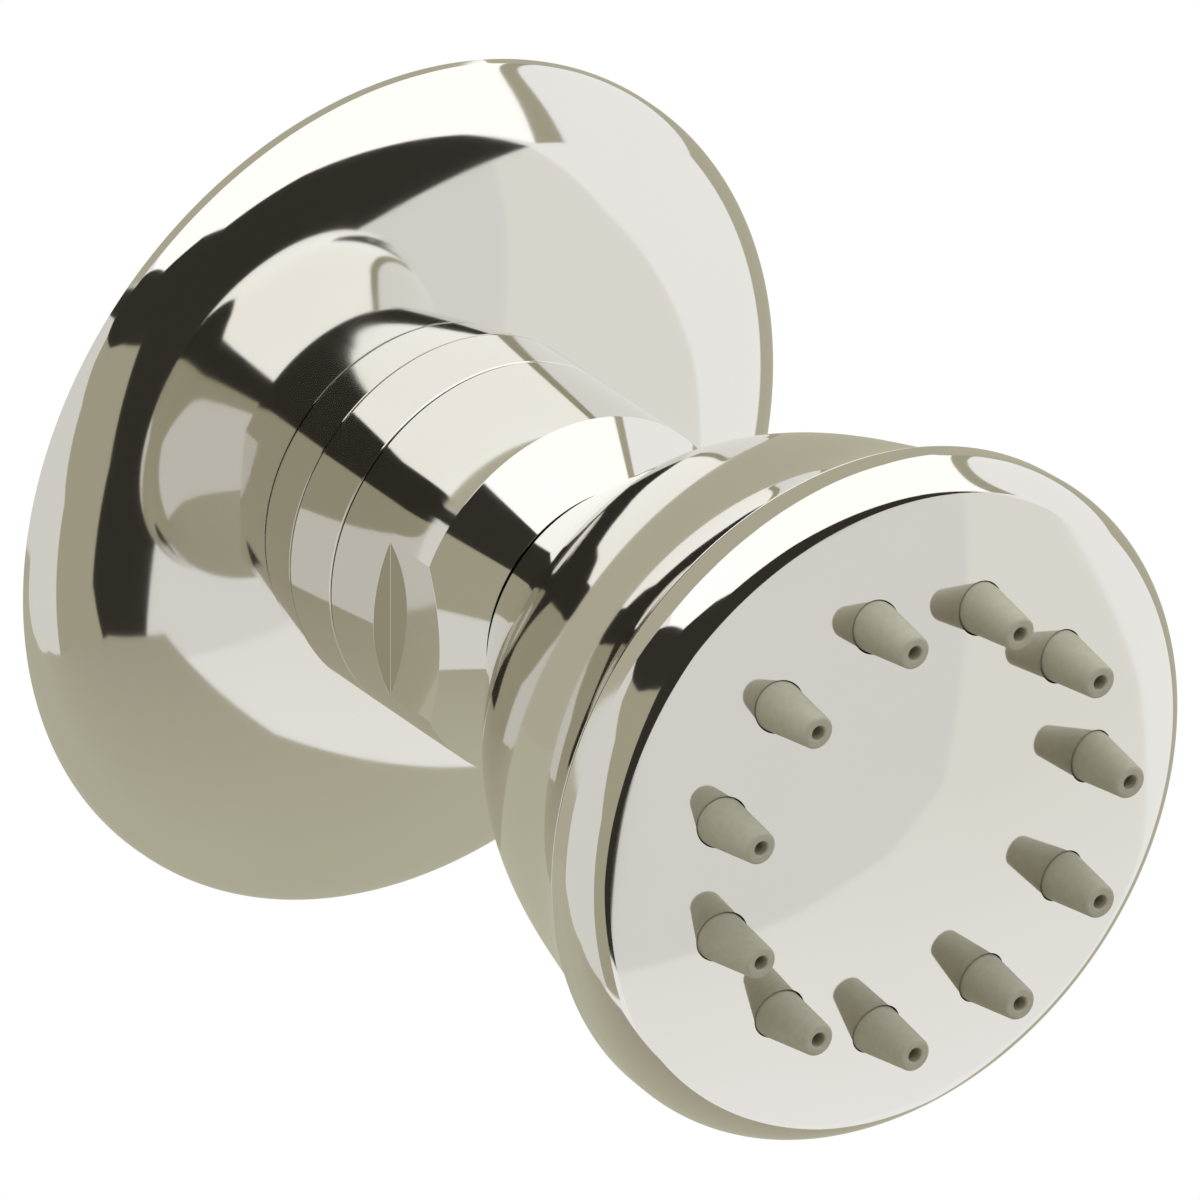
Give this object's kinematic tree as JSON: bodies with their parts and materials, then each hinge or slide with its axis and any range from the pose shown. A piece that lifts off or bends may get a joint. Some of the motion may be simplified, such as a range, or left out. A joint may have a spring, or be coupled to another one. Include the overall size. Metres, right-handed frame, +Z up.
{
  "type": "shower body jet",
  "caption": "Wall-mounted swivel shower jet: domed round flange, collar and union nut round a ball joint, and a bell-shaped head whose domed face carries a ring of soft nozzles.",
  "frame": {"origin": "on the jet's axis, in the plane of the wall that the flange stands on", "axes": "-Y the way the jet points, +Y into the wall, +Z up, +X to the right of someone who faces the wall"},
  "size_m": [0.07, 0.0736, 0.07],
  "materials": {
    "polished_nickel": "polished nickel plate on brass",
    "silicone": "matt moulded silicone, grey",
    "seal_rubber": "matt black seal rubber",
    "acetal": "machined white acetal",
    "stainless": "stamped stainless steel",
    "foam": "closed-cell black foam"
  },
  "bodies": {
    "mount": {"wall_flange": "polished_nickel", "flange_gasket": "foam", "flange_grip_ring": "seal_rubber", "inlet_body": "polished_nickel", "inlet_washer": "seal_rubber", "filter_screen": "stainless", "ball_seal": "seal_rubber", "union_nut": "polished_nickel"},
    "pan_ring": {"rear_seat_ring": "acetal"},
    "tilt_ring": {"front_seat_ring": "acetal"},
    "head": {"swivel_ball": "polished_nickel", "flow_regulator": "acetal", "regulator_ring": "seal_rubber", "stem_seal": "seal_rubber", "bell_shell": "polished_nickel", "face_plate": "polished_nickel", "face_seal": "seal_rubber", "nozzle_mat": "silicone", "backing_plate": "acetal", "retaining_ring": "stainless"}
  },
  "joints": [
    {"name": "pan", "type": "hinge", "parent": "mount", "child": "pan_ring", "pos_m": [0, -0.02, 0], "axis": [0, 0, 1], "range_deg": [-8, 8]},
    {"name": "tilt", "type": "hinge", "parent": "pan_ring", "child": "tilt_ring", "pos_m": [0, -0.02, 0], "axis": [1, 0, 0], "range_deg": [-8, 8]},
    {"name": "spin", "type": "hinge", "parent": "tilt_ring", "child": "head", "pos_m": [0, -0.02, 0], "axis": [0, 1, 0], "continuous": true}
  ]
}
